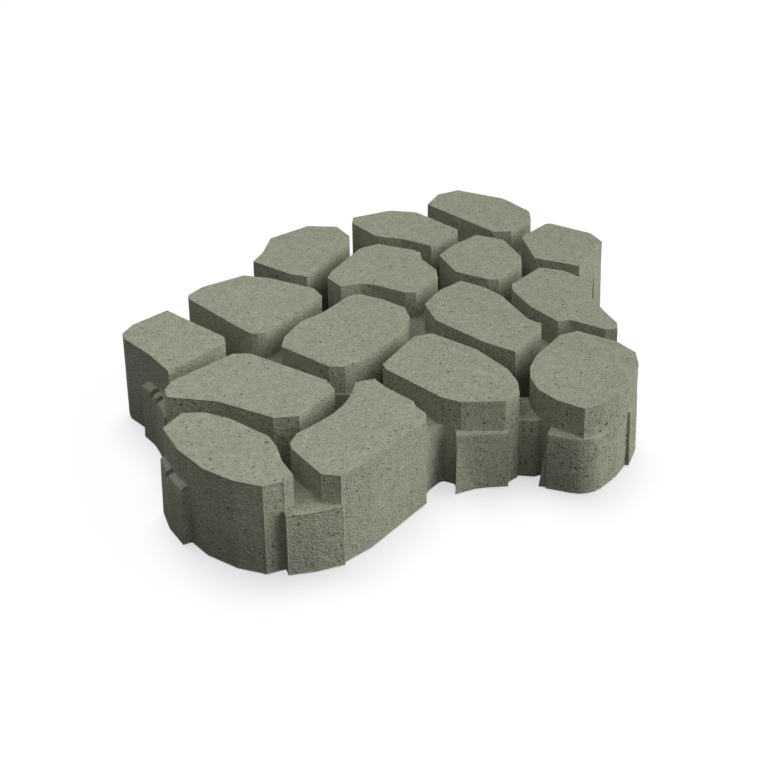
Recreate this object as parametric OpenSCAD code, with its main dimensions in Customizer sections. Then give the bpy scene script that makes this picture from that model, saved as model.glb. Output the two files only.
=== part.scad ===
// Concrete paving stone, cast in one piece: sixteen cobble heads on a common slab.
// Millimetres. The bed lies on z = 0, the walking face looks along +Z,
// and the origin is the middle of the bed.

/* [Height] */
// From the bed to the flat walking face of the heads
stone_height = 80; // [60:1:120]
// Depth of the open joints between the heads
joint_depth = 26; // [12:1:40]

/* [Plan] */
// Longest side of the stone, spacers included; the plan grows evenly with it
stone_length = 594; // [450:6:750]
// Straight pieces that make up each rounded corner
corner_steps = 4; // [2:1:8]

/* [Spacers] */
// How far the shoulder of a spacer drops towards its outer edge
shoulder_drop = 2; // [1:0.5:8]
// Width of the sloping shoulder
shoulder_run = 4; // [2:0.5:8]
// How much further a spacer stands out at the bed than at the shoulder
spacer_batter = 1; // [0:0.5:4]
// Width of the notches that part the shoulder of a long spacer
notch_width = 6.5; // [3:0.5:10]
// Depth of these notches under the outer edge of the shoulder
notch_depth = 5; // [2:0.5:12]

/* [Hidden] */

// Length the outlines below are drawn at
drawn_length = 594;
grow = stone_length / drawn_length;
slab_height = stone_height - joint_depth;
// How far the top of a spacer's shoulder lies under the floor of the joints
shoulder_sink = 1;
shoulder_height = slab_height - shoulder_sink;
shoulder_edge = shoulder_height - shoulder_drop;
// How far a spacer reaches back into the stone
spacer_root = 14;

// Heads, clockwise in plan. Each corner is [x, y, radius], sharp where the radius is 0.
// Along the far left side, from left to right
HEAD_01 = [[-222, -41, 0], [-225, -31, 0], [-218, -13, 0], [-190, 16, 5], [-134, -40, 4],
           [-132, -52, 4], [-177, -104, 4], [-197, -72, 0]];
HEAD_02 = [[-176, 44, 10], [-162, 65, 15], [-125, 90, 6], [-100, 83, 40], [-58, 59, 10],
           [-50, 42, 8], [-104, -44, 13]];
HEAD_03 = [[-118, 122, 4], [-110, 142, 0], [-104, 177, 6], [-68, 207, 8], [-39, 204, 5],
           [-26, 180, 6], [-26, 167, 5], [-65, 85, 4], [-81, 91, 0]];
HEAD_04 = [[-24, 213, 3], [-23, 227, 6], [14, 244, 15], [41, 239, 12], [81, 193, 5],
           [81, 181, 4], [54, 153, 6], [26, 171, 20], [0, 179, 12]];
HEAD_05 = [[53, 259, 4], [65, 286, 8], [86, 297, 0], [132, 272, 20], [156, 237, 12],
           [156, 214, 10], [134, 186, 8], [116, 186, 8]];
// Second row, from right to left
HEAD_06 = [[143, 172, 10], [172, 207, 6], [212, 179, 12], [221, 158, 4], [193, 101, 3],
           [152, 121, 4]];
HEAD_07 = [[61, 130, 3], [73, 152, 15], [99, 179, 5], [125, 166, 5], [139, 126, 12],
           [139, 107, 5], [115, 73, 5], [105, 73, 5], [75, 92, 5]];
HEAD_08 = [[-46, 82, 5], [-43, 95, 15], [-16, 149, 15], [1, 160, 8], [37, 144, 6],
           [43, 137, 4], [44, 122, 5], [57, 97, 12], [58, 79, 5], [37, 47, 5],
           [26, 47, 5], [-9, 70, 25], [-33, 62, 5]];
HEAD_09 = [[-83, -60, 4], [-81, -41, 20], [-68, -11, 10], [-48, 8, 20], [-25, 42, 6],
           [-15, 45, 8], [6, 33, 30], [26, 15, 4], [30, -6, 10], [20, -41, 25],
           [-14, -91, 15], [-27, -100, 8], [-41, -99, 8]];
HEAD_12 = [[-177, -138, 0], [-173, -122, 0], [-125, -73, 8], [-110, -72, 10],
           [-42, -124, 5], [-35, -141, 6], [-63, -186, 5], [-84, -188, 8],
           [-131, -159, 30], [-174, -150, 2]];
// Third row, from right to left
HEAD_11 = [[126, 62, 8], [155, 99, 6], [177, 91, 12], [191, 76, 5], [195, 38, 80],
           [206, 0, 15], [214, -22, 8], [213, -35, 3], [202, -35, 4], [173, -15, 4],
           [162, -18, 5], [140, 13, 25], [126, 48, 10]];
HEAD_10 = [[44, 22, 4], [58, 51, 15], [79, 71, 5], [100, 57, 25], [116, 36, 20],
           [136, -13, 10], [147, -22, 4], [146, -33, 4], [120, -77, 4], [92, -55, 20],
           [53, -12, 12]];
HEAD_15 = [[5, -96, 4], [33, -44, 6], [49, -38, 6], [87, -71, 12], [112, -110, 12],
           [118, -132, 15], [118, -153, 2], [106, -165, 0], [69, -166, 8], [53, -157, 6],
           [8, -106, 4]];
HEAD_14 = [[-69, -229, 5], [-64, -214, 6], [-23, -170, 100], [-18, -129, 4],
           [-2, -122, 5], [7, -137, 10], [30, -163, 4], [32, -172, 4], [40, -184, 5],
           [40, -193, 0], [-5, -258, 0], [-28, -281, 0], [-43, -278, 4], [-67, -239, 5]];
HEAD_13 = [[-172, -202, 5], [-159, -178, 6], [-141, -177, 15], [-120, -187, 20],
           [-86, -218, 12], [-79, -234, 8], [-74, -256, 5], [-64, -279, 5], [-71, -288, 4],
           [-87, -295, 0], [-110, -286, 0], [-135, -267, 0], [-157, -237, 0]];
// Near right corner
HEAD_16 = [[130, -105, 12], [137, -84, 15], [161, -45, 8], [177, -37, 5], [210, -60, 10],
           [223, -80, 8], [223, -101, 4], [211, -135, 10], [201, -154, 10], [185, -171, 10],
           [169, -180, 0], [148, -165, 0], [134, -146, 10], [129, -125, 6]];

HEADS = [HEAD_01, HEAD_02, HEAD_03, HEAD_04, HEAD_05, HEAD_06, HEAD_07, HEAD_08,
         HEAD_09, HEAD_10, HEAD_11, HEAD_12, HEAD_13, HEAD_14, HEAD_15, HEAD_16];

// Slab under the joints. It runs inside the outer heads and shows only where
// it closes the ends of the joints.
SLAB = [[-181, 2, 0], [-163, 42, 0], [-109, 80, 0], [-104, 125, 0], [-61, 170, 0],
        [-36, 180, 0], [4, 190, 0], [39, 228, 0], [71, 250, 0], [144, 218, 0],
        [171, 192, 0], [183, 112, 0], [183, 70, 0], [202, -25, 0], [202, -70, 0],
        [159, -140, 0], [132, -153, 0], [114, -150, 0], [69, -150, 0], [51, -161, 0],
        [43, -172, 0], [37, -186, 0], [-26, -270, 0], [-26, -283, 0], [-48, -292, 40],
        [-70, -297, 0], [-77, -270, 0], [-159, -195, 0], [-166, -140, 0],
        [-179, -120, 0], [-186, -92, 0], [-201, -50, 0]];

// Spacers on the outer sides. Each follows its outer edge with the stone on the left hand,
// and its corners are [x, y, radius] as above. A sharp bend has a notch in its shoulder.
SPACERS = [
    // Left side of the first head, and across its joint to the next
    [[-205, -74, 0], [-194.5, -90, 0], [-189, -103, 0], [-179, -134, 0]],
    // Left side of the near left head
    [[-176, -201, 0], [-168.5, -226, 0], [-155, -251, 0]],
    // Near side, the second one round the near right corner
    [[65, -171, 0], [109, -167, 0]],
    [[140, -171, 0], [175, -185, 22], [197, -158, 0]],
    // Right side
    [[213, -136, 0], [223, -107, 40], [224, -86, 0]],
    [[212, 138, 0], [221, 156, 0]],
    // Far side
    [[149, 254, 0], [136, 274, 0]],
    [[7, 244, 0], [-11, 235, 0]],
    [[-75, 206, 0], [-93, 191, 0]],
    [[-135, 88, 0], [-153, 75, 0]]];

// Heels, where the left end of a spacer on the near side spreads out towards the bed.
// Each is the tip at the shoulder and then the two other corners of the foot.
HEELS = [
    [[66, -170], [64, -180], [84, -170]],
    [[141, -170], [134, -169], [142, -163]]];

function plan(p) = [p[0], p[1]];
function unit(v) = v / norm(v);

// Points of the corner c between its neighbours a and b, rounded to its radius
function corner(a, c, b) =
    let (u = unit(plan(a) - plan(c)))
    let (v = unit(plan(b) - plan(c)))
    let (half = acos(u * v) / 2)
    let (centre = plan(c) + unit(u + v) * c[2] / sin(half))
    let (start = plan(c) + u * c[2] / tan(half) - centre)
    let (first = atan2(start[1], start[0]))
    let (sweep = -sign(cross(u, v)) * (180 - 2 * half))
    c[2] == 0
        ? [plan(c)]
        : [for (i = [0:corner_steps])
            let (t = first + sweep * i / corner_steps)
            centre + c[2] * [cos(t), sin(t)]];

// Closed outline with every corner rounded, at the chosen plan size
function rounded(path) =
    let (n = len(path))
    [for (i = [0:n - 1])
        each grow * corner(path[(i + n - 1) % n], path[i], path[(i + 1) % n])];

module head(path) {
    linear_extrude(stone_height) polygon(rounded(path));
}

module slab() {
    linear_extrude(slab_height) polygon(rounded(SLAB));
}

// Outward direction at point i of an open edge, mitred so that the section keeps its depth
function outward(edge, i) =
    let (last = len(edge) - 1)
    let (before = unit(edge[max(i, 1)] - edge[max(i, 1) - 1]))
    let (after = unit(edge[min(i, last - 1) + 1] - edge[min(i, last - 1)]))
    let (turn = before + after)
    [turn[1], -turn[0]] / (1 + before * after);

// One spacer: a section square to its outer edge, which lies at x = 0, drawn along that edge
module spacer(path) {
    section = [[-spacer_root, 0], [spacer_batter, 0], [0, shoulder_edge],
               [-shoulder_run, shoulder_height], [-spacer_root, shoulder_height]];
    edge = [for (i = [0:len(path) - 1])
        each path[i][2] == 0
            ? [grow * plan(path[i])]
            : grow * corner(path[i - 1], path[i], path[i + 1])];
    points = [for (i = [0:len(edge) - 1])
        for (s = section)
            [each edge[i] + outward(edge, i) * s[0], s[1]]];
    n = len(section);
    end = len(points) - n;
    sides = [for (first = [0:n:end - n])
        for (j = [0:n - 1])
            let (k = (j + 1) % n)
            [first + j, first + k, first + n + k, first + n + j]];
    near_end = [for (j = [n - 1:-1:0]) j];
    far_end = [for (j = [0:n - 1]) end + j];
    polyhedron(points, [each sides, near_end, far_end]);
}

// Room of one notch, turned so that its x axis leads out of the stone at a bend of the edge
module notch(edge, i) {
    out = outward(edge, i);
    translate([edge[i][0], edge[i][1], shoulder_edge - notch_depth])
        rotate(atan2(out[1], out[0]))
            translate([-2 * spacer_root, -notch_width / 2, 0])
                cube([3 * spacer_root, notch_width, notch_depth + 2 * shoulder_drop]);
}

module notched_spacer(path) {
    edge = [for (corner_point = path) grow * plan(corner_point)];
    bends = [for (i = [1:1:len(path) - 2]) if (path[i][2] == 0) i];
    difference() {
        spacer(path);
        for (i = bends)
            notch(edge, i);
    }
}

module heel(corners) {
    tip = grow * corners[0];
    foot = [for (c = corners) grow * c - tip];
    translate([tip[0], tip[1], 0])
        linear_extrude(shoulder_edge, scale = 0) polygon(foot);
}

module paving_stone() {
    color([0.56, 0.57, 0.51])
        union() {
            slab();
            for (path = HEADS)
                head(path);
            for (path = SPACERS)
                notched_spacer(path);
            for (corners = HEELS)
                heel(corners);
        }
}

paving_stone();
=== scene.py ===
"""Looks of the concrete paving stone.

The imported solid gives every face. Each face is meshed again in small triangles, so that the cast surface can
have its pores, its worn edges and its uneven grain as geometry, and a procedural concrete covers it.
Lengths are millimetres in the frame of the part, and become metres where Blender takes them.
"""
import math
import random

import bpy
import numpy as np
from mathutils import Matrix, Vector, kdtree, noise
from mathutils.geometry import delaunay_2d_cdt


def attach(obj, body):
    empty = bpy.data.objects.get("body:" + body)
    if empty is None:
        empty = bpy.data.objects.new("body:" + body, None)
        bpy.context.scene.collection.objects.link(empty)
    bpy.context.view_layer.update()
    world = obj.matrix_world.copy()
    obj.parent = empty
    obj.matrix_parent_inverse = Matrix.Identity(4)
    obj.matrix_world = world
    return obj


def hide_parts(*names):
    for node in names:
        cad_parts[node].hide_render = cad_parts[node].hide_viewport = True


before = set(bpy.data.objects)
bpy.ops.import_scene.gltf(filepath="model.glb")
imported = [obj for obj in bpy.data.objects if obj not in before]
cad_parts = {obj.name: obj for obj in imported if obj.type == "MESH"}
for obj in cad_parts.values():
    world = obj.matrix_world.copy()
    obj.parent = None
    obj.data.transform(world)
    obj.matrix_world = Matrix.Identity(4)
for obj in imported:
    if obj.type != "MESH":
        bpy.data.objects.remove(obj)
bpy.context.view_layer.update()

MM = 0.001
NODE = "paving_stone"

# Packed points that agree to this many digits are one, and faces whose normals are this near are one plane
WELD_DIGITS = 3
SAME_PLANE = math.cos(math.radians(0.2))
# A normal or an edge this near to upright counts as upright, and an edge this near to level as level
UPRIGHT = 0.99
LEVEL = 0.1
# Faces that look up at least this much count as tops
TOP_FACING = 0.5

# Fine mesh: how far apart its points lie on each kind of face
TOP_SPACING = 3.3
WALL_SPACING = 3.1
RIPPLED_SPACING = 1.2
BED_SPACING = 9.0
SPACING = {"bed": BED_SPACING, "top": TOP_SPACING, "rippled": RIPPLED_SPACING, "wall": WALL_SPACING}
# A row of points runs this far inside each worn edge, each soft one between facets, and each rim.
# They keep these shares of their distance clear of the outline and of each other.
EDGE_BAND = 0.8
SOFT_BAND = 2.0
RIM_BAND = 0.9
BAND_CLEARANCE = 0.8
BAND_GAP = 0.5
# A triangle lower than this is turned with its neighbour
SLIVER = 0.03
TRIANGULATION_TOLERANCE = 1e-7
WHOLE_HULL = 0
# Points nearer to the outline of a face than this share of the spacing are left out
OUTLINE_MARGIN = 0.6
JITTER = 0.22
SEED = 41

# Front faces of the near left heads took the ripples of the mould: how far they face the front and
# the right, and how far back and to the right they lie
RIPPLED_FACING = -0.5
RIPPLED_TURN = 0.5
RIPPLED_FRONT = -115.0
RIPPLED_RIGHT = 60.0
# Neighbouring faces blend where they turn by less than this, or belong to one rounded corner
BLEND_TURN = math.radians(9.0)
CORNER_TURN = math.radians(26.0)
CORNER_WIDTH = 12.0
# A rounded corner of this radius or less, and of at least this turn, is crisp: the walls beside its
# narrow facets run on until they meet
CRISP_RADIUS = 8.5
CRISP_TURN = math.radians(20.0)
FACET_WIDTH = 2.2
# Edges between facets of a wall are soft, and so are the rims that lie no higher than the joints
SOFT_TURN = math.radians(30.0)
RIM_TURN = math.radians(75.0)
RIM_LEVEL = 54.5
# Slanting hollows, at the heels of the spacers, are filled out this far to either side
FILL_REACH = 10.0
FILL_TOP = 48.0
FILL_FADE = 16.0

# Webs join the heads at the level of the joints. Between the webs the joints go down deep: these boxes
# in plan give where, and the walls of the heads bound them. A row of points runs along either side of
# their edges.
JOINT_LEVEL = 54.0
LEVEL_TOLERANCE = 1.0
WELL_LEVEL = 6.0
WELLS = [((95, -111), (152, -42)), ((-72, 58), (-30, 126)), ((-150, -30), (-112, 2)),
         ((-60, -135), (-12, -102)), ((-85, -190), (-30, -135)), ((-95, -233), (-60, -190)),
         ((45, 100), (75, 168)), ((130, 135), (158, 173)), ((112, 68), (138, 95)), ((-20, -86), (18, -58))]
WELL_ROW_STEP = 1.5
WELL_ROW_OFFSET = 0.2
WELL_ROW_CLEARANCE = 0.5

# Relief, always into the stone. Each noise is shifted by an offset of its own.
TOP_GRAIN = 0.12
WALL_GRAIN = 0.22
RIPPLE = 0.75
RIPPLE_LENGTH = 2.1
RIPPLE_STRETCH = 1.4
GRAIN_LENGTH = 7.0
COARSE_SHARE = 0.6
FINE_SHARE = 0.4
EDGE_WEAR = 0.17
LEAST_WEAR = 0.4
NICK_DEPTH = 0.6
NICK_LENGTH = 7.0
NICK_RARITY = 0.28
RIPPLE_OFFSET = 3.0
WEAR_OFFSET = 5.0
FINE_OFFSET = 7.0
NICK_OFFSET = 11.0

# Pores for each square centimetre, their radii, and how far an uneven rim can pass the radius
TOP_PORES = 0.22
WALL_PORES = 0.30
CORNER_PORES = 1.0
PORE_RADIUS = (0.45, 1.25)
SMALLNESS = 3
PORE_DEPTH = 0.8
DEPTH_RANGE = (0.7, 1.2)
RIM_REACH = 1.4
SQUARE_CENTIMETRE = 100
# Room between pores, from a pore to the outline, and from a pore to the rows of points
PORE_GAP = 0.5
OUTLINE_GAP = 0.4
ROW_GAP = 0.3
# A pore given by its place is on the face that passes this near
FACE_REACH = 2.0
# Points of a pore: on its rim, on a ring inside it, and in wide pores on one more ring
RIM_STEP = 1.1
LEAST_RIM = 6
RIM_STRETCH = 0.25
RIM_RANGE = (0.92, 1.08)
INNER_RING = 0.8
INNER_DEPTH = 0.7
WIDE_PORE = 1.2
BOTTOM_RING = 0.4
# The very porous corner lies to the right of the first and in front of the second
POROUS_CORNER = (100, -100)
# Share of the places for dark specks that are taken
TOP_PITTED = 0.22
WALL_PITTED = 0.32
CORNER_PITTED = 1.0
# Strength of the fine ripples: on walls with ripples of the mould, at the corners near them, on other
# walls that face the front, and on all others. The corners lie this far behind the ripples of the
# mould, and face the front at least this much.
MOULD_RIPPLE = 0.8
CORNER_RIPPLE = 1.0
FRONT_RIPPLE = 0.7
WALL_RIPPLE = 0.4
CORNER_BEHIND = 60.0
CORNER_FACING = -0.25

# The pores that stand out in the photograph: where they are, and their radius
LARGE_PORES = [
    # On the tops
    ((172, -117, 80), 1.4), ((151, -143, 80), 1.0), ((161, -62, 80), 1.2), ((136, -49, 80), 0.9),
    ((181, -144, 80), 0.9), ((60, -112, 80), 1.4), ((95, -102, 80), 1.1), ((60, -59, 80), 0.9),
    ((85, -136, 80), 0.9), ((93, -159, 80), 0.9), ((110, -45, 80), 1.2), ((-178, -83, 80), 1.4),
    ((-180, -95, 80), 1.6), ((-154, -53, 80), 0.9), ((-116, 9, 80), 1.0), ((-152, -147, 80), 1.0),
    ((-97, -88, 80), 0.9), ((-87, -227, 80), 1.5), ((-7, -240, 80), 0.9), ((-49, -53, 80), 1.3),
    ((178, 43, 80), 1.0), ((-202, -47, 80), 0.9), ((-203, -5, 80), 0.9), ((-112, -11, 80), 0.9),
    ((-108, -92, 80), 0.9), ((-46, -233, 80), 1.0),
    # On the sides
    ((189, -167, 58), 1.8), ((67, -165, 56), 1.1), ((104, -165, 63), 1.0), ((134, -144, 55), 1.5),
    ((-160, -230, 64), 1.9), ((-61, -295, 45), 1.2), ((-107, -287, 54), 0.9), ((-125, -274, 7), 1.0),
    ((158, -179, 24), 1.1), ((152, -176, 41), 1.1), ((152, -176, 24), 1.0), ((129, -152, 46), 1.1),
    ((121, -151, 18), 1.0), ((60, -161, 70), 1.0), ((-80, -292, 24), 1.0)]
# A grain of sand that lies flush in a top and shows as a grey spot
FLUSH_SPOTS = [((189, -73, 80), 2.2)]
SPOT_TONE = 0.35

# Where iron in the sand has tinted the tops: place and reach
RUST_MARKS = [((149, 12, 80), 9.0), ((193, 119, 80), 8.0), ((-218, -38, 80), 6.0)]

# Painted shade low on the walls, standing in for the shaded floor beside them: darker up to about this height,
# most on those that face left, away from the key light
LOW_SHADE_HEIGHT = 42.0
LOW_PAINTED_SHADE = 0.6

# Painted falloff of light: the tops darken a little from the near left to the far right, as under a lamp
# nearer the near left
FALLOFF_RUN = np.array((0.8, 0.6, 0.0))
FALLOFF_REACH = 235.0
FALLOFF_MIDDLE = 0.955
FALLOFF_CHANGE = 0.065

# Concrete, as linear colour
PASTE = (0.268, 0.287, 0.2145, 1.0)
WARM_PASTE = (0.280, 0.286, 0.2065, 1.0)
RUST = (0.36, 0.25, 0.13, 1.0)
SPECULAR = 0.25
ROUGHNESS = (0.84, 0.96)
# Lumps of each noise in the concrete, and the range of its tone
BROAD_LENGTH = 60.0
BROAD_TONE = (0.97, 1.03)
MOTTLE_LENGTH = 9.0
MOTTLE_TONE = (0.91, 1.09)
STREAK_LENGTH = 5.0
STREAK_TONE = (0.96, 1.04)
STREAK_SQUEEZE = (1, 1, 0.1)
SAND_LENGTH = 1.3
SAND_TONE = (0.66, 1.34)
WARM_LENGTH = 35.0
WARM_FROM, WARM_TO = 0.4, 0.75
STAIN_MOST = 0.9
# Dark specks: size of the cells of space that hold one each, radius, share of the cells, and shade.
# They crowd in some places, by a noise.
SMALL_CELL, SMALL_RADIUS, SMALL_SHARE, SMALL_SHADE = 2.2, 0.75, 0.75, 0.5
LARGE_CELL, LARGE_RADIUS, LARGE_SHADE = 3.4, 1.05, 0.25
# How dark the pore mark makes the concrete: painted shade and dirt inside the pits, and the grey of the flush
# spots
PORE_SHADE = 0.2
SPECK_UNEVEN = 0.3
SPECK_SHARPNESS = 8
CROWD_LENGTH = 20.0
CROWD_RANGE = (0.3, 1.7)
CROWD_FROM, CROWD_TO = 0.35, 0.65
# Bump of the grain and of the fine ripples
GRAIN_BUMP = 0.65
GRAIN_HEIGHT = 0.5
MOTTLE_BUMP = 1.5
FINE_RIPPLE_LENGTH = 1.7
FINE_RIPPLE_HEIGHT = 1.3
FINE_RIPPLE_STRETCH = (0.75, 0.75, 1)

# Light: a broad key from the right, soft ones from above and from the front, and the even light of the
# room. The floor has a lamp of its own. Azimuth 0 comes from the camera's side and grows to the right.
KEY_AZIMUTH = math.radians(79.0)
KEY_ELEVATION = math.radians(28.0)
KEY_STRENGTH = 3.05
KEY_ANGLE = math.radians(65.0)
TOP_AZIMUTH = math.radians(250.0)
TOP_ELEVATION = math.radians(76.0)
TOP_STRENGTH = 0.85
TOP_ANGLE = math.radians(50.0)
FRONT_AZIMUTH = math.radians(5.0)
FRONT_ELEVATION = math.radians(42.0)
FRONT_STRENGTH = 0.38
FRONT_ANGLE = math.radians(60.0)
ROOM_LIGHT = 0.22
FLOOR_SIZE = 8.0
FLOOR_DROP = 0.5
FLOOR_ALBEDO = 0.08
FLOOR_GLOW = (0.575, 0.565, 0.59, 1.0)
FLOOR_SHADOW = 0.95
FLOOR_AZIMUTH = math.radians(186.0)
FLOOR_ELEVATION = math.radians(68.0)
FLOOR_STRENGTH = 0.86
FLOOR_ANGLE = math.radians(40.0)

# Camera of the photograph, which is square
IMAGE_PIXELS = 768
FOCAL_PIXELS = 1812.6
SENSOR_MM = 36.0
CAMERA_PITCH = math.radians(27.99)
CAMERA_ROLL = math.radians(0.77)
CAMERA_DISTANCE = 1684.5
CAMERA_TARGET = (6.0, 18.0, 0.0)


# The faces of the solid

def welded(mesh):
    """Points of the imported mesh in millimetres, each once, and its triangles."""
    mesh.calc_loop_triangles()
    points = np.empty(len(mesh.vertices) * 3)
    mesh.vertices.foreach_get("co", points)
    points = points.reshape(-1, 3) / MM
    triangles = np.empty(len(mesh.loop_triangles) * 3, dtype=np.int32)
    mesh.loop_triangles.foreach_get("vertices", triangles)
    _, first, place = np.unique(points.round(WELD_DIGITS), axis=0, return_index=True, return_inverse=True)
    triangles = place.ravel()[triangles].reshape(-1, 3)
    whole = [len(set(t)) == 3 for t in triangles.tolist()]
    return points[first], triangles[whole]


class Face:
    """One flat face: its plane, its outline as directed edges, and what kind of surface it is."""

    def __init__(self, normal, corners, edges):
        self.normal = normal
        self.corners = corners
        self.edges = edges
        level = abs(normal[2]) >= UPRIGHT
        across = Vector((1, 0, 0)) if level else Vector((-normal[1], normal[0], 0.0))
        self.across = np.array(across.normalized())
        self.up = np.cross(normal, self.across)
        self.double_areas = np.linalg.norm(
            np.cross(corners[:, 1] - corners[:, 0], corners[:, 2] - corners[:, 0]), axis=1)
        self.area = 0.5 * self.double_areas.sum()
        self.width = self.area / np.ptp(corners.reshape(-1, 3), axis=0).max()
        self.middle = corners.reshape(-1, 3).mean(axis=0)
        self.kind = self.find_kind()
        at_joints = abs(corners[0, 0, 2] - JOINT_LEVEL) < LEVEL_TOLERANCE
        self.is_joint_floor = normal[2] > UPRIGHT and at_joints

    def flat(self, points):
        """Points in the plane of the face."""
        return np.column_stack([points @ self.across, points @ self.up])

    def raised(self, flat_points):
        """Points of the plane, back in space."""
        level = self.corners[0, 0] @ self.normal
        return np.outer(flat_points[:, 0], self.across) + np.outer(flat_points[:, 1], self.up) \
            + level * self.normal

    def find_kind(self):
        """What kind of surface the face is."""
        if self.normal[2] < -UPRIGHT:
            return "bed"
        if self.normal[2] > TOP_FACING:
            return "top"
        near_left = self.middle[1] < RIPPLED_FRONT and self.middle[0] < RIPPLED_RIGHT
        if near_left and self.normal[1] < RIPPLED_FACING and self.normal[0] < RIPPLED_TURN:
            return "rippled"
        return "wall"


def flat_faces(points, triangles):
    """Neighbouring triangles that lie in one plane, gathered into faces."""
    corners = points[triangles]
    normals = np.cross(corners[:, 1] - corners[:, 0], corners[:, 2] - corners[:, 0])
    normals /= np.linalg.norm(normals, axis=1)[:, None]
    owner = {}
    for index, (a, b, c) in enumerate(triangles.tolist()):
        owner.update({(a, b): index, (b, c): index, (c, a): index})
    faces = []
    face_of = {}
    for seed in range(len(triangles)):
        if seed in face_of:
            continue
        face_of[seed] = len(faces)
        members = [seed]
        outline = []
        for index in members:
            a, b, c = triangles[index].tolist()
            for edge in ((a, b), (b, c), (c, a)):
                other = owner[edge[::-1]]
                if face_of.get(other) == len(faces):
                    continue
                if other not in face_of and normals[seed] @ normals[other] > SAME_PLANE:
                    face_of[other] = len(faces)
                    members.append(other)
        for index in members:
            a, b, c = triangles[index].tolist()
            for edge in ((a, b), (b, c), (c, a)):
                if face_of.get(owner[edge[::-1]]) != len(faces):
                    outline.append(edge)
        faces.append(Face(normals[seed], corners[members], outline))
    return faces


def turn_between(first, second):
    """Angle between the normals of two faces."""
    return math.acos(max(-1.0, min(1.0, first.normal @ second.normal)))


class Edge:
    """An edge of the solid between two faces, with the points that the fine mesh has along it."""

    def __init__(self, start, end, left, right, points):
        self.start = start
        self.end = end
        self.left = left
        self.right = right
        self.turn = turn_between(left, right)
        run = points[end] - points[start]
        self.convex = np.cross(left.normal, right.normal) @ run > 0
        in_corner = self.turn < CORNER_TURN and min(left.width, right.width) < CORNER_WIDTH
        self.blends = self.turn < BLEND_TURN or in_corner
        low = max(points[start][2], points[end][2]) < RIM_LEVEL
        self.rim = low and SOFT_TURN <= self.turn < RIM_TURN
        steepness = abs(run[2]) / np.linalg.norm(run)
        self.upright = steepness >= UPRIGHT
        chamfer = self.upright and max(left.width, right.width) < CORNER_WIDTH
        eased = self.rim or (self.turn < SOFT_TURN and not chamfer)
        self.soft = self.convex and not self.blends and eased
        slanting = LEVEL < steepness < UPRIGHT
        self.filled = self.blends and slanting and not self.convex and self.turn > BLEND_TURN
        self.along = []

    @property
    def band(self):
        """How far inside the faces its row of points runs, or nothing where it has none."""
        if self.soft:
            return RIM_BAND if self.rim else SOFT_BAND
        return None if self.blends or not self.convex else EDGE_BAND


def shared_edges(faces, points):
    """Every edge once, by the pair of points it joins, with the face on either side."""
    sides = {edge: face for face in faces for edge in face.edges}
    return {edge: Edge(*edge, face, sides[edge[::-1]], points)
            for edge, face in sides.items() if edge[0] < edge[1]}


# The fine mesh

class Surface:
    """The fine mesh as it grows: points, the faces that each lies on, pit depth and darkness, triangles."""

    def __init__(self, points):
        self.points = [np.array(p) for p in points]
        self.faces = [[] for _ in points]
        self.sink = [0.0] * len(points)
        self.pore = [0.0] * len(points)
        self.triangles = []
        self.sharp = set()
        self.worn = set()
        self.hollow = set()
        self.softened = {}

    def add(self, point, sink=0.0, pore=0.0):
        self.points.append(np.array(point))
        self.faces.append([])
        self.sink.append(sink)
        self.pore.append(pore)
        return len(self.points) - 1


def divide(edge, surface):
    """Puts the fine mesh's points on an edge."""
    start, end = surface.points[edge.start], surface.points[edge.end]
    spacing = min(min(SPACING[edge.left.kind], SPACING[edge.right.kind]), WALL_SPACING)
    steps = max(1, round(np.linalg.norm(end - start) / spacing))
    between = [surface.add(start + (end - start) * i / steps) for i in range(1, steps)]
    edge.along = [edge.start, *between, edge.end]
    if edge.soft:
        surface.softened.update({index: edge.band * math.tan(edge.turn / 4) for index in edge.along})
    elif not edge.blends:
        marks = surface.worn if edge.convex else surface.hollow
        marks.update(edge.along)
        surface.sharp.update(zip(edge.along, edge.along[1:]))


def outline_of(face, edges):
    """The fine points round a face, as directed pairs."""
    pairs = []
    for start, end in face.edges:
        along = edges[(start, end)].along if start < end else edges[(end, start)].along[::-1]
        pairs.extend(zip(along, along[1:]))
    return pairs


def inside(flat_points, outline):
    """Which points of the plane lie inside an outline given by its edges, by counting crossings."""
    count = np.zeros(len(flat_points), dtype=int)
    x, y = flat_points[:, 0], flat_points[:, 1]
    for (ax, ay), (bx, by) in outline:
        if ay == by:
            continue
        spans = (ay > y) != (by > y)
        count += spans & (x < ax + (y - ay) * (bx - ax) / (by - ay))
    return count % 2 == 1


class Neighbours:
    """Points of one face already in place, to keep later ones clear of them."""

    def __init__(self, flat_points):
        self.tree = kdtree.KDTree(len(flat_points))
        for index, (x, y) in enumerate(flat_points):
            self.tree.insert((x, y, 0.0), index)
        self.tree.balance()

    def distance(self, point):
        return self.tree.find((point[0], point[1], 0.0))[2]


def honeycomb(low, high, spacing, draw):
    """Points in rows over a rectangle, each a little off its place."""
    points = []
    rise = spacing * math.sqrt(3) / 2
    for row in range(int((high[1] - low[1]) / rise) + 1):
        shift = spacing / 2 * (row % 2)
        for column in range(int((high[0] - low[0]) / spacing) + 1):
            x = low[0] + shift + column * spacing + draw.uniform(-JITTER, JITTER) * spacing
            y = low[1] + row * rise + draw.uniform(-JITTER, JITTER) * spacing
            points.append((x, y))
    return np.array(points).reshape(-1, 2)


def pore_density(face):
    """Pores for each square centimetre of a face."""
    if face.kind == "bed":
        return 0.0
    if face.kind == "top":
        return TOP_PORES
    return CORNER_PORES if near_right_corner(face) else WALL_PORES


def edge_distance(place, outline):
    """How far a point of the plane lies from an outline given by its edges."""
    starts, ends = np.array(outline).transpose(1, 0, 2)
    runs = ends - starts
    share = ((place - starts) * runs).sum(axis=1) / (runs * runs).sum(axis=1)
    nearest = starts + np.clip(share, 0.0, 1.0)[:, None] * runs
    return np.linalg.norm(place - nearest, axis=1).min()


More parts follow.
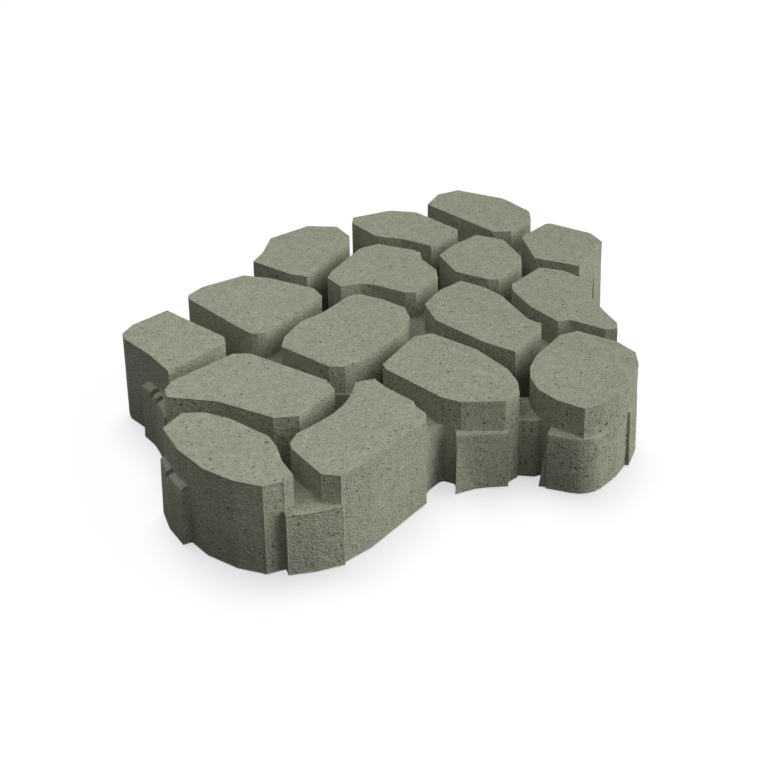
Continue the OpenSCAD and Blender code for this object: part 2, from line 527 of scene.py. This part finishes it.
def pores_on(face, draw):
    """Places and radii of the pores of a face, clear of its outline and of each other."""
    pores = []
    named = [(*pore, False) for pore in LARGE_PORES] + [(*spot, True) for spot in FLUSH_SPOTS]
    for place, radius, flush in named:
        place = np.array(place, dtype=float)
        if abs((place - face.corners[0, 0]) @ face.normal) < FACE_REACH:
            pores.append((face.flat(place[None])[0], radius, flush))
    pores = [p for p in pores if inside(p[0][None], face.flat_outline)[0]]
    expected = pore_density(face) * face.area / SQUARE_CENTIMETRE
    number = int(expected) + (draw.random() < expected % 1)
    for corners in draw.choices(face.corners, weights=face.double_areas, k=number):
        a, b = sorted((draw.random(), draw.random()))
        place = face.flat((corners[0] * a + corners[1] * (b - a) + corners[2] * (1 - b))[None])[0]
        radius = PORE_RADIUS[0] + (PORE_RADIUS[1] - PORE_RADIUS[0]) * draw.random() ** SMALLNESS
        pores.append((place, radius, False))
    kept = []
    for place, radius, flush in pores:
        clear = all(np.linalg.norm(place - other) > RIM_REACH * (radius + reach) + PORE_GAP
                    for other, reach, _ in kept)
        if clear and edge_distance(place, face.flat_outline) > RIM_REACH * radius + OUTLINE_GAP:
            kept.append((place, radius, flush))
    return kept


def pit(place, radius, flush, draw):
    """Points of one pore, from its uneven rim down to its bottom, and how many of them make the rim."""
    rim = max(LEAST_RIM, round(2 * math.pi * radius / RIM_STEP))
    phase = draw.uniform(0, 2 * math.pi)
    stretch = draw.uniform(0.0, RIM_STRETCH)
    depth = 0.0 if flush else PORE_DEPTH * radius * draw.uniform(*DEPTH_RANGE)
    tone = SPOT_TONE if flush else 1.0

    def ring(number, share, sink, pore):
        points = []
        for i in range(number):
            turn = 2 * math.pi * i / number
            reach = radius * share * (1 + stretch * math.cos(2 * turn + phase)) * draw.uniform(*RIM_RANGE)
            step = np.array([math.cos(turn), math.sin(turn)])
            points.append((place + reach * step, sink, tone * pore))
        return points

    # Inside the rim the pore mark paints shade and dirt into the pit; a flush spot takes only its grey tone
    points = ring(rim, 1.0, 0.0, 0.0)
    points += ring(rim, INNER_RING, INNER_DEPTH * depth, 1.0)
    if radius > WIDE_PORE:
        points += ring(rim // 2, BOTTOM_RING, depth, 1.0)
    return points + [(place, depth, tone)], rim


def mesh_face(face, edges, surface, draw):
    """Triangles for one face, from the points round it to the grid and the pores inside it."""
    pairs = outline_of(face, edges)
    ring = list(dict.fromkeys(index for pair in pairs for index in pair))
    flat_ring = face.flat(np.array([surface.points[i] for i in ring]))
    local = {index: n for n, index in enumerate(ring)}
    face.flat_outline = [(flat_ring[local[a]], flat_ring[local[b]]) for a, b in pairs]
    spacing = SPACING[face.kind]

    fixed = Neighbours(flat_ring)
    inner = []
    if face.kind != "bed":
        inner += band_points(face, edges, surface, fixed)
    if face.is_joint_floor:
        inner += well_rows(face)
    pores = pores_on(face, draw)
    inner = [p for p in inner if all(
        np.linalg.norm(p[0] - place) > RIM_REACH * radius + ROW_GAP for place, radius, _ in pores)]
    rims = []
    for place, radius, flush in pores:
        points, rim = pit(place, radius, flush, draw)
        first = len(ring) + len(inner)
        rims += [(first + i, first + (i + 1) % rim) for i in range(rim)]
        inner += points
    taken = Neighbours(np.array([p[0] for p in inner] + list(flat_ring)))

    grid = honeycomb(flat_ring.min(axis=0), flat_ring.max(axis=0), spacing, draw)
    if len(grid):
        grid = grid[inside(grid, face.flat_outline)]
    margin = OUTLINE_MARGIN * min(spacing, WALL_SPACING)
    for point in grid:
        if taken.distance(point) < margin:
            continue
        if any(np.linalg.norm(point - place) < RIM_REACH * radius for place, radius, _ in pores):
            continue
        inner.append((point, 0.0, 0.0))

    numbers = list(ring)
    if inner:
        lifted = face.raised(np.array([p[0] for p in inner]))
        for place, (_, sink, pore) in zip(lifted, inner):
            numbers.append(surface.add(place, sink, pore))
    for index in numbers:
        surface.faces[index].append(face)
    places = [Vector(p) for p in flat_ring] + [Vector(p[0]) for p in inner]
    outline = [(local[a], local[b]) for a, b in pairs]
    _, _, found, sources, _, _ = delaunay_2d_cdt(
        places, outline + rims, [], WHOLE_HULL, TRIANGULATION_TOLERANCE)
    triangles = [tuple(sources[i][0] for i in triangle) for triangle in found]
    flat_places = np.array([tuple(p) for p in places])
    kept = inner_triangles(triangles, outline)
    for triangle in without_slivers(kept, flat_places):
        surface.triangles.append([numbers[i] for i in triangle])
    surface.sharp.update((numbers[a], numbers[b]) for a, b in rims)


def sides(triangle):
    """The three edges of a triangle, each without a direction."""
    a, b, c = triangle
    return frozenset((a, b)), frozenset((b, c)), frozenset((c, a))


def owners_of(triangles):
    """The triangles on each edge."""
    owners = {}
    for n, triangle in enumerate(triangles):
        for side in sides(triangle):
            owners.setdefault(side, set()).add(n)
    return owners


def inner_triangles(triangles, outline):
    """The triangles inside an outline: each step over an edge of the outline leads in or out."""
    walls = {frozenset(pair) for pair in outline}
    owners = owners_of(triangles)
    within = {}
    for side, numbers in owners.items():
        if len(numbers) == 1:
            within.setdefault(min(numbers), side in walls)
    reached = list(within)
    for n in reached:
        for side in sides(triangles[n]):
            for other in owners[side] - within.keys():
                within[other] = within[n] != (side in walls)
                reached.append(other)
    return [triangle for n, triangle in enumerate(triangles) if within[n]]


def without_slivers(triangles, places):
    """The triangles after each very low one has turned the edge it shares with its neighbour."""
    triangles = list(triangles)
    owners = owners_of(triangles)

    def double_area(a, b, c):
        (ux, uy), (vx, vy) = places[b] - places[a], places[c] - places[a]
        return ux * vy - uy * vx

    waiting = list(range(len(triangles)))
    turns = 0
    while waiting and turns < 2 * len(triangles):
        n = waiting.pop()
        length, longest = max((np.linalg.norm(np.subtract(*places[list(side)])), tuple(side))
                              for side in sides(triangles[n]))
        others = owners[frozenset(longest)] - {n}
        if abs(double_area(*triangles[n])) > SLIVER * length or not others:
            continue
        other = min(others)
        a, c = longest
        b, = set(triangles[n]) - {a, c}
        d, = set(triangles[other]) - {a, c}
        for m, corners in ((n, (a, b, d)), (other, (b, c, d))):
            for side in sides(triangles[m]):
                owners[side].discard(m)
            triangles[m] = corners if double_area(*corners) > 0 else corners[::-1]
        for m in (n, other):
            for side in sides(triangles[m]):
                owners.setdefault(side, set()).add(m)
        waiting += [n, other]
        turns += 1
    return triangles


def band_points(face, edges, surface, fixed):
    """A row of points just inside each worn or soft edge, so that the wear stays at the edge."""
    points = []
    for start, end in face.edges:
        edge = edges[(min(start, end), max(start, end))]
        band = edge.band
        if band is None:
            continue
        along = edge.along if start < end else edge.along[::-1]
        flat_along = face.flat(np.array([surface.points[i] for i in along]))
        run = flat_along[-1] - flat_along[0]
        inward = np.array([-run[1], run[0]]) / np.linalg.norm(run) * band
        for place in (flat_along[:-1] + flat_along[1:]) / 2 + inward:
            clear = fixed.distance(place) > BAND_CLEARANCE * band
            if clear and all(np.linalg.norm(place - p[0]) > BAND_GAP * EDGE_BAND for p in points):
                points.append((place, 0.0, 0.0))
    if not points:
        return points
    keep = inside(np.array([p[0] for p in points]), face.flat_outline)
    return [p for p, good in zip(points, keep) if good]


def crisp_corners(edges):
    """Each crisp corner: its narrow facets, the two walls beside them, and its middle upright edge."""
    beside = {}
    for edge in edges.values():
        if edge.upright and edge.convex:
            beside.setdefault(edge.left, {})[edge.right] = edge
            beside.setdefault(edge.right, {})[edge.left] = edge
    seen = set()
    for face in beside:
        if face in seen or face.width >= FACET_WIDTH:
            continue
        facets, walls = [face], []
        for facet in facets:
            for other in beside[facet]:
                found = facets if other.width < FACET_WIDTH else walls
                if other not in found:
                    found.append(other)
        seen.update(facets)
        if len(walls) != 2:
            continue
        turn = turn_between(*walls)
        middles = [edge for facet in facets for other, edge in beside[facet].items() if other in facets]
        if not middles or turn < CRISP_TURN or sum(f.width for f in facets) > CRISP_RADIUS * turn:
            continue
        outward = walls[0].normal + walls[1].normal
        yield facets, walls, max(middles, key=lambda edge: (edge.left.normal + edge.right.normal) @ outward)


def sharpen_corners(surface, edges):
    """Moves the points of the crisp corners out to where the walls beside them meet."""
    points_on = {}
    for index, faces in enumerate(surface.faces):
        for face in faces:
            points_on.setdefault(face, []).append(index)
    for facets, walls, middle in crisp_corners(edges):
        for index in sorted({index for facet in facets for index in points_on[facet]}):
            point = surface.points[index]
            outward = sum(face.normal for face in surface.faces[index] if face in facets)
            outward = outward / np.linalg.norm(outward)
            steps = [(wall.corners[0, 0] - point) @ wall.normal / (outward @ wall.normal) for wall in walls]
            surface.points[index] = point + max(0.0, min(steps)) * outward
        surface.worn.update(middle.along)
        surface.sharp.update(zip(middle.along, middle.along[1:]))


def in_well(x, y):
    """Whether a place in plan lies in one of the wells."""
    return any(low[0] < x < high[0] and low[1] < y < high[1] for low, high in WELLS)


def well_rows(face):
    """Rows of points on a joint's floor, on either side of the edges of its wells."""
    places = []
    for (left, near), (right, far) in WELLS:
        for offset in (-WELL_ROW_OFFSET, WELL_ROW_OFFSET):
            for x in np.arange(left, right, WELL_ROW_STEP):
                places += [(x, near + offset), (x, far + offset)]
            for y in np.arange(near, far, WELL_ROW_STEP):
                places += [(left + offset, y), (right + offset, y)]
    places = np.array(places)
    places = places[inside(places, face.flat_outline)]
    return [(place, 0.0, 0.0) for place in places
            if edge_distance(place, face.flat_outline) > WELL_ROW_CLEARANCE]


def sunk_points(surface):
    """Numbers of the points on the floors of the joints that lie in a well."""
    return {index for index, (point, faces) in enumerate(zip(surface.points, surface.faces))
            if any(face.is_joint_floor for face in faces) and in_well(point[0], point[1])}


def well_edges(surface, sunk):
    """Edges of the fine mesh along the top and the bottom of each well's sides."""
    for triangle in surface.triangles:
        low = [index for index in triangle if index in sunk]
        high = [index for index in triangle if index not in sunk]
        if low and high:
            yield tuple(low if len(low) == 2 else high)


# Relief

def wave(point, length, offset=0.0):
    """Smooth noise from 0 to 1 with the given wavelength."""
    value = 0.5 + 0.5 * noise.noise(Vector(point) / length + Vector((offset, offset, offset)))
    return min(1.0, max(0.0, value))


def relief_depth(point, kind):
    """How far the cast surface lies under the plain face at a point."""
    if kind == "bed":
        return 0.0
    if kind == "top":
        return TOP_GRAIN * wave(point, 2 * GRAIN_LENGTH)
    coarse = wave(point, GRAIN_LENGTH)
    fine = wave(point, GRAIN_LENGTH / 2, FINE_OFFSET)
    depth = WALL_GRAIN * (COARSE_SHARE * coarse + FINE_SHARE * fine)
    if kind == "rippled":
        level = (point[0] / RIPPLE_STRETCH, point[1] / RIPPLE_STRETCH, point[2])
        depth += RIPPLE * wave(level, RIPPLE_LENGTH, RIPPLE_OFFSET)
    return depth


def edge_depth(point):
    """How far a worn edge lies under the sharp one at a point."""
    nick = max(0.0, wave(point, NICK_LENGTH, NICK_OFFSET) - (1 - NICK_RARITY)) / NICK_RARITY
    return EDGE_WEAR * (LEAST_WEAR + wave(point, GRAIN_LENGTH, WEAR_OFFSET)) + NICK_DEPTH * nick


def fillings(edges, surface):
    """How far the points beside the slanting hollows are raised, so that the faces run together."""
    points = np.array(surface.points)
    raised = np.zeros(len(points))
    for edge in edges.values():
        if not edge.filled:
            continue
        start = points[edge.start]
        run = points[edge.end] - start
        share = np.clip((points - start) @ run / (run @ run), 0.0, 1.0)
        distance = np.linalg.norm(points - start - np.outer(share, run), axis=1)
        rise = np.clip(FILL_REACH - distance, 0.0, None) ** 2 / (4 * FILL_REACH) * edge.turn
        rise *= np.clip((FILL_TOP - points[:, 2]) / FILL_FADE, 0.0, 1.0)
        for index in np.flatnonzero(rise):
            if edge.left in surface.faces[index] or edge.right in surface.faces[index]:
                raised[index] = max(raised[index], rise[index])
    return raised


def settled(surface, raised):
    """Places of all points after relief, wear and pores, and after the hollows are filled out."""
    places = []
    for index, point in enumerate(surface.points):
        faces = surface.faces[index]
        inward = -sum(face.normal for face in faces)
        inward = inward / np.linalg.norm(inward)
        if index in surface.hollow:
            depth = 0.0
        elif index in surface.worn:
            depth = edge_depth(point)
        else:
            depth = min(relief_depth(point, face.kind) for face in faces) + surface.sink[index]
            depth += surface.softened.get(index, 0.0)
        level_out = -inward * (1, 1, 0)
        places.append(point + inward * depth + level_out * raised[index])
    return np.array(places)


def rust_at(point):
    """Strength of the rust tint at a point."""
    reach = [max(0.0, 1 - np.linalg.norm(point - np.array(place)) / radius) for place, radius in RUST_MARKS]
    return max(reach)


def near_right_corner(face):
    """Whether a face is one of the very porous ones at the near right corner."""
    in_corner = face.middle[0] > POROUS_CORNER[0] and face.middle[1] < POROUS_CORNER[1]
    return face.kind == "wall" and in_corner and face.normal[1] < 0


def mean_share(faces, share):
    """Mean over the faces that a point lies on."""
    return sum(share(face) for face in faces) / len(faces)


def ripple_share(face):
    """Strength of the fine ripples on a face."""
    if face.kind in ("bed", "top"):
        return 0.0
    if face.kind == "rippled":
        return MOULD_RIPPLE
    near_left = face.middle[1] < RIPPLED_FRONT + CORNER_BEHIND and face.middle[0] < RIPPLED_RIGHT
    if near_left and face.normal[1] < CORNER_FACING:
        return CORNER_RIPPLE
    return FRONT_RIPPLE if face.normal[1] < RIPPLED_FACING else WALL_RIPPLE


def pitted_share(face):
    """Share of the places for dark specks that are taken on a face."""
    if near_right_corner(face):
        return CORNER_PITTED
    return WALL_PITTED if face.kind in ("wall", "rippled") else TOP_PITTED


def painted_falloff_at(point, faces):
    """Painted falloff of light at a point: on the tops, darker from the near left to the far right."""
    on_top = mean_share(faces, lambda face: face.kind == "top")
    top_tone = FALLOFF_MIDDLE - FALLOFF_CHANGE * (point @ FALLOFF_RUN) / FALLOFF_REACH
    return 1 + on_top * (top_tone - 1)


def foot_share(face):
    """How far the painted shade low on the walls shows on a face: fully where it faces left, not where it
    faces right.
    """
    return (1 - face.normal[0]) / 2 if face.kind in ("wall", "rippled") else 0.0


def cast_stone(solid):
    """The stone's finished mesh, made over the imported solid."""
    draw = random.Random(SEED)
    points, triangles = welded(solid.data)
    faces = flat_faces(points, triangles)
    edges = shared_edges(faces, points)
    surface = Surface(points)
    for edge in edges.values():
        divide(edge, surface)
    for face in faces:
        mesh_face(face, edges, surface, draw)

    sharpen_corners(surface, edges)
    places = settled(surface, fillings(edges, surface))
    sunk = sunk_points(surface)
    places[list(sunk), 2] = WELL_LEVEL
    surface.sharp.update(well_edges(surface, sunk))
    mesh = bpy.data.meshes.new("cast_stone")
    mesh.from_pydata((places * MM).tolist(), [], surface.triangles)
    mesh.shade_smooth()
    sharp = {tuple(sorted(pair)) for pair in surface.sharp}
    flags = [tuple(sorted(edge.vertices)) in sharp for edge in mesh.edges]
    mesh.attributes.new("sharp_edge", "BOOLEAN", "EDGE").data.foreach_set("value", flags)
    # The pore mark holds painted shade and dirt in the pits, and the grey of the flush spots
    marks = {"pore": surface.pore,
             "rust": [rust_at(point) for point in surface.points],
             "ripple": [mean_share(faces, ripple_share) for faces in surface.faces],
             "pitted": [mean_share(faces, pitted_share) for faces in surface.faces],
             # Painted shade low on the walls
             "foot": [max(map(foot_share, faces)) for faces in surface.faces],
             # The tone mark is painted falloff of light across the tops
             "tone": [painted_falloff_at(*both) for both in zip(surface.points, surface.faces)]}
    for name, values in marks.items():
        mesh.attributes.new(name, "FLOAT", "POINT").data.foreach_set("value", values)
    stone = bpy.data.objects.new("cast_stone", mesh)
    bpy.context.scene.collection.objects.link(stone)
    return stone


# Material

def add_node(tree, kind, inputs=None, **settings):
    """A new node. Each input is given by name or number and is a socket to link or a value to set."""
    new = tree.nodes.new(kind)
    for name, value in settings.items():
        setattr(new, name, value)
    for name, value in (inputs or {}).items():
        if isinstance(value, bpy.types.NodeSocket):
            tree.links.new(value, new.inputs[name])
        else:
            new.inputs[name].default_value = value
    return new


def math_node(tree, operation, first, second, clamp=False):
    """Result of one operation on two sockets or values."""
    return add_node(tree, "ShaderNodeMath", {0: first, 1: second}, operation=operation,
                    use_clamp=clamp).outputs[0]


def noise_node(tree, place, length, detail=2.0, roughness=0.55):
    """Noise from 0 to 1 whose lumps are about as long as given."""
    inputs = {"Vector": place, "Scale": 1 / (length * MM), "Detail": detail, "Roughness": roughness}
    return add_node(tree, "ShaderNodeTexNoise", inputs).outputs["Fac"]


def spread(tree, value, low, high, at_low=0.3, at_high=0.7):
    """Maps the middle of a noise to the range from low to high."""
    inputs = {"Value": value, "From Min": at_low, "From Max": at_high, "To Min": low, "To Max": high}
    return add_node(tree, "ShaderNodeMapRange", inputs).outputs["Result"]


def scaled(tree, place, factors):
    """The place with each axis times its factor, so that a noise there is drawn out."""
    return add_node(tree, "ShaderNodeVectorMath", {0: place, 1: factors}, operation="MULTIPLY").outputs[0]


def specks(tree, place, cell, radius, share):
    """Dark specks, one at most in each cell of space: 1 in a speck and 0 outside."""
    cells = add_node(tree, "ShaderNodeTexVoronoi", {"Vector": place, "Scale": 1 / (cell * MM)})
    chance = add_node(tree, "ShaderNodeSeparateColor", {"Color": cells.outputs["Color"]}).outputs[0]
    reach = spread(tree, chance, 0.0, radius / cell, math_node(tree, "SUBTRACT", 1.0, share), 1.0)
    ragged = SPECK_UNEVEN * radius / cell
    uneven = spread(tree, noise_node(tree, place, radius), -ragged, ragged)
    distance = math_node(tree, "ADD", cells.outputs["Distance"], uneven)
    depth = math_node(tree, "SUBTRACT", reach, distance)
    return math_node(tree, "MULTIPLY", depth, SPECK_SHARPNESS * cell / radius, clamp=True)


def darkened(tree, mask, shade):
    """Factor that is 1 where the mask is 0, and shade where it is 1."""
    inputs = {"Value": mask, "To Min": 1.0, "To Max": shade}
    return add_node(tree, "ShaderNodeMapRange", inputs).outputs["Result"]


def concrete():
    """Grey-green sand concrete: mottled paste, fine sand, dark specks, pores darkened by painted shade and
    dirt, a little rust, painted shade low on the walls and a painted falloff of light across the tops.
    """
    material = bpy.data.materials.new("concrete")
    material.use_nodes = True
    tree = material.node_tree
    shader = tree.nodes["Principled BSDF"]
    shader.inputs["Specular IOR Level"].default_value = SPECULAR
    place = add_node(tree, "ShaderNodeTexCoord").outputs["Object"]

    broad = noise_node(tree, place, BROAD_LENGTH, detail=3.0)
    mottle = noise_node(tree, place, MOTTLE_LENGTH, detail=4.0, roughness=0.6)
    sand = noise_node(tree, place, SAND_LENGTH, roughness=0.7)
    streaks = noise_node(tree, scaled(tree, place, STREAK_SQUEEZE), STREAK_LENGTH, detail=3.0)
    # Marks of the mesh: painted shade and dirt in the pores, rust, ripples, specks, painted shade low on the
    # walls, and painted falloff of light across the tops
    pore, rust, ripple, pitted, foot, tone = (
        add_node(tree, "ShaderNodeAttribute", attribute_name=name).outputs["Fac"]
        for name in ("pore", "rust", "ripple", "pitted", "foot", "tone"))
    crowding = spread(tree, noise_node(tree, place, CROWD_LENGTH), *CROWD_RANGE, CROWD_FROM, CROWD_TO)
    taken = math_node(tree, "MULTIPLY", crowding, SMALL_SHARE)
    small = specks(tree, place, SMALL_CELL, SMALL_RADIUS, taken)
    taken = math_node(tree, "MULTIPLY", crowding, pitted)
    large = specks(tree, place, LARGE_CELL, LARGE_RADIUS, taken)

    # Painted shade low on the walls: strongest at the bed and gone at its height
    height = add_node(tree, "ShaderNodeSeparateXYZ", {0: place}).outputs["Z"]
    low = spread(tree, height, 1.0, 0.0, 0.0, LOW_SHADE_HEIGHT * MM)
    foot = darkened(tree, math_node(tree, "MULTIPLY", foot, low), LOW_PAINTED_SHADE)

    # Factors of the colour: painted shade low on the walls, painted falloff on the tops, the noises, the
    # specks, and painted shade and dirt in the pores
    factors = [foot, tone, spread(tree, broad, *BROAD_TONE), spread(tree, mottle, *MOTTLE_TONE),
               spread(tree, streaks, *STREAK_TONE), spread(tree, sand, *SAND_TONE),
               darkened(tree, small, SMALL_SHADE), darkened(tree, large, LARGE_SHADE),
               darkened(tree, pore, PORE_SHADE)]
    shade = factors[0]
    for factor in factors[1:]:
        shade = math_node(tree, "MULTIPLY", shade, factor)
    warm = noise_node(tree, place, WARM_LENGTH, detail=3.0)
    warmth = spread(tree, warm, 0.0, 1.0, WARM_FROM, WARM_TO)
    paste = add_node(tree, "ShaderNodeMix", {0: warmth, 6: PASTE, 7: WARM_PASTE}, data_type="RGBA")
    stain = math_node(tree, "MULTIPLY", rust, spread(tree, mottle, 0.0, STAIN_MOST))
    stained = add_node(tree, "ShaderNodeMix", {0: stain, 6: paste.outputs[2], 7: RUST}, data_type="RGBA")
    inputs = {0: stained.outputs[2], "Scale": shade}
    colour = add_node(tree, "ShaderNodeVectorMath", inputs, operation="SCALE")
    tree.links.new(colour.outputs[0], shader.inputs["Base Color"])
    tree.links.new(spread(tree, sand, *ROUGHNESS), shader.inputs["Roughness"])

    relief = math_node(tree, "ADD", sand, math_node(tree, "MULTIPLY", mottle, MOTTLE_BUMP))
    relief = math_node(tree, "SUBTRACT", relief, large)
    inputs = {"Strength": GRAIN_BUMP, "Distance": GRAIN_HEIGHT * MM, "Height": relief}
    grain = add_node(tree, "ShaderNodeBump", inputs)
    waves = noise_node(tree, scaled(tree, place, FINE_RIPPLE_STRETCH), FINE_RIPPLE_LENGTH)
    inputs = {"Strength": ripple, "Distance": FINE_RIPPLE_HEIGHT * MM, "Height": waves,
              "Normal": grain.outputs["Normal"]}
    rippled = add_node(tree, "ShaderNodeBump", inputs)
    tree.links.new(rippled.outputs["Normal"], shader.inputs["Normal"])
    return material


# Stage

def seen_directly(tree):
    """1 for rays that the camera, a mirror or clear glass sends out, 0 for the light's own paths."""
    ray = add_node(tree, "ShaderNodeLightPath").outputs
    glossy = math_node(tree, "MAXIMUM", ray["Is Camera Ray"], ray["Is Glossy Ray"])
    return math_node(tree, "MAXIMUM", glossy, ray["Is Transmission Ray"])


def floor():
    """Pale floor that looks white and keeps the stone's soft shadow."""
    mesh = bpy.data.meshes.new("floor")
    half = FLOOR_SIZE / 2
    corners = [(-half, -half, 0), (half, -half, 0), (half, half, 0), (-half, half, 0)]
    mesh.from_pydata(corners, [], [(0, 1, 2, 3)])
    plane = bpy.data.objects.new("floor", mesh)
    plane.location.z = -FLOOR_DROP * MM
    bpy.context.scene.collection.objects.link(plane)
    material = bpy.data.materials.new("pale_floor")
    material.use_nodes = True
    tree = material.node_tree
    tree.nodes.clear()
    plain = add_node(tree, "ShaderNodeBsdfDiffuse", {"Color": (FLOOR_ALBEDO,) * 3 + (1,)}).outputs[0]
    shadowed = add_node(tree, "ShaderNodeBsdfDiffuse", {"Color": (FLOOR_SHADOW,) * 3 + (1,)}).outputs[0]
    glow = add_node(tree, "ShaderNodeEmission", {"Color": FLOOR_GLOW}).outputs[0]
    white = add_node(tree, "ShaderNodeAddShader", {0: glow, 1: shadowed}).outputs[0]
    mixed = add_node(tree, "ShaderNodeMixShader", {0: seen_directly(tree), 1: plain, 2: white}).outputs[0]
    add_node(tree, "ShaderNodeOutputMaterial", {"Surface": mixed})
    mesh.materials.append(material)
    return plane


def room():
    """Even light from all round, and white where the camera looks past the floor."""
    world = bpy.data.worlds.new("room")
    world.use_nodes = True
    tree = world.node_tree
    inputs = {"Value": seen_directly(tree), "To Min": ROOM_LIGHT, "To Max": 1.0}
    strength = add_node(tree, "ShaderNodeMapRange", inputs).outputs["Result"]
    background = tree.nodes["Background"]
    background.inputs["Color"].default_value = (1, 1, 1, 1)
    tree.links.new(strength, background.inputs["Strength"])
    bpy.context.scene.world = world


def soft_light(name, azimuth, elevation, strength, angle):
    """A broad lamp far away."""
    lamp = bpy.data.lights.new(name, "SUN")
    lamp.energy = strength
    lamp.angle = angle
    sun = bpy.data.objects.new(name, lamp)
    level = math.cos(elevation)
    source = Vector((math.sin(azimuth) * level, -math.cos(azimuth) * level, math.sin(elevation)))
    sun.rotation_euler = source.to_track_quat("Z", "Y").to_euler()
    bpy.context.scene.collection.objects.link(sun)
    return sun


def light_only(lamp, piece):
    """Lets a lamp light one object alone, so that the floor gets a soft short shadow of its own."""
    lit = bpy.data.collections.new(lamp.name + "_lit")
    lit.objects.link(piece)
    lamp.light_linking.receiver_collection = lit


def camera():
    """The photograph's camera: it looks along +Y and down, with a slight roll."""
    lens = bpy.data.cameras.new("camera")
    lens.sensor_width = SENSOR_MM
    lens.lens = FOCAL_PIXELS / IMAGE_PIXELS * SENSOR_MM
    forward = Vector((0, math.cos(CAMERA_PITCH), -math.sin(CAMERA_PITCH)))
    right = Vector((1, 0, 0))
    down = forward.cross(right)
    turned = math.cos(CAMERA_ROLL) * right + math.sin(CAMERA_ROLL) * down
    place = (Vector(CAMERA_TARGET) - CAMERA_DISTANCE * forward) * MM
    axes = Matrix((turned, -forward.cross(turned), -forward)).transposed().to_4x4()
    viewer = bpy.data.objects.new("camera", lens)
    viewer.matrix_world = Matrix.Translation(place) @ axes
    bpy.context.scene.collection.objects.link(viewer)
    bpy.context.scene.camera = viewer


bpy.context.scene.view_settings.view_transform = "Standard"
camera()
room()
plane = floor()
stone = cast_stone(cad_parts[NODE])
light_only(soft_light("key", KEY_AZIMUTH, KEY_ELEVATION, KEY_STRENGTH, KEY_ANGLE), stone)
light_only(soft_light("top", TOP_AZIMUTH, TOP_ELEVATION, TOP_STRENGTH, TOP_ANGLE), stone)
light_only(soft_light("front", FRONT_AZIMUTH, FRONT_ELEVATION, FRONT_STRENGTH, FRONT_ANGLE), stone)
light_only(soft_light("under", FLOOR_AZIMUTH, FLOOR_ELEVATION, FLOOR_STRENGTH, FLOOR_ANGLE), plane)
stone.data.materials.append(concrete())
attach(stone, "root")
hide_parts(NODE)
